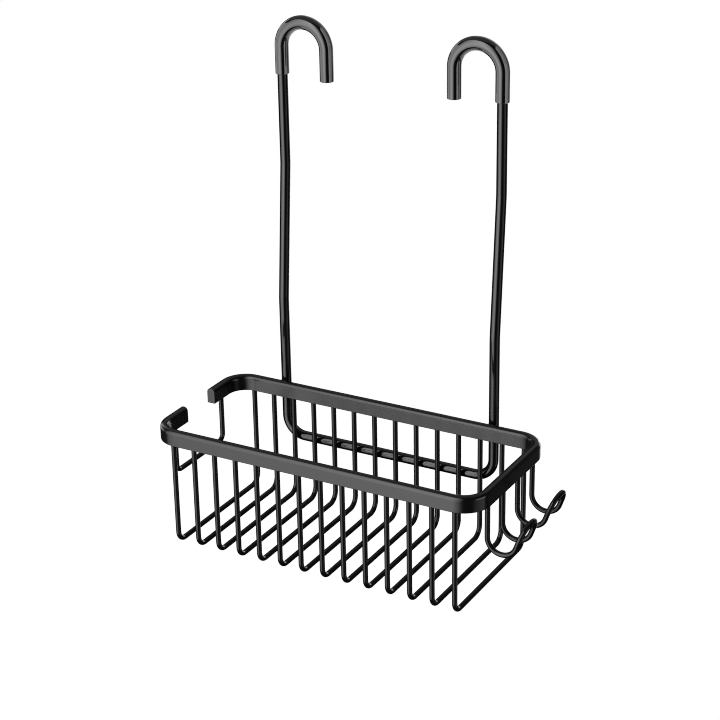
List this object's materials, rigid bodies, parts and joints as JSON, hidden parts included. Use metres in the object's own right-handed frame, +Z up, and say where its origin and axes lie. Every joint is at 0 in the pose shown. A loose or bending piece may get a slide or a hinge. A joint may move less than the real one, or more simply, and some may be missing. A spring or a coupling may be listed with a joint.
{
  "type": "shower caddy",
  "caption": "Black wire shower basket on a rod frame with two sleeved hooks that hang over a mixer's pipes, open at one end, with double side hooks.",
  "frame": {"origin": "midway between the axes of the two pipes that the hooks hang on, in the plane of the hooks", "axes": "+X along the wall to the right as seen from the room, +Y into the wall, +Z up"},
  "size_m": [0.315, 0.1462, 0.4046],
  "materials": {
    "rim_coat": "satin black powder coat",
    "wire_coat": "semi-gloss black powder coat",
    "rod_coat": "gloss black powder coat",
    "sleeve": "glossy gunmetal-grey plastic tube"
  },
  "bodies": {
    "root": {"basket_rim": "rim_coat", "basket_wire_01": "wire_coat", "basket_wire_02": "wire_coat", "basket_wire_03": "wire_coat", "basket_wire_04": "wire_coat", "basket_wire_05": "wire_coat", "basket_wire_06": "wire_coat", "basket_wire_07": "wire_coat", "basket_wire_08": "wire_coat", "basket_wire_09": "wire_coat", "basket_wire_10": "wire_coat", "basket_wire_11": "wire_coat", "basket_wire_12": "wire_coat", "basket_wire_13": "wire_coat", "basket_wire_14": "wire_coat", "end_rail": "wire_coat", "side_hook_front": "wire_coat", "side_hook_rear": "wire_coat", "hanger_rod": "rod_coat", "hook_sleeve_left": "sleeve", "hook_sleeve_right": "sleeve"}
  },
  "joints": []
}
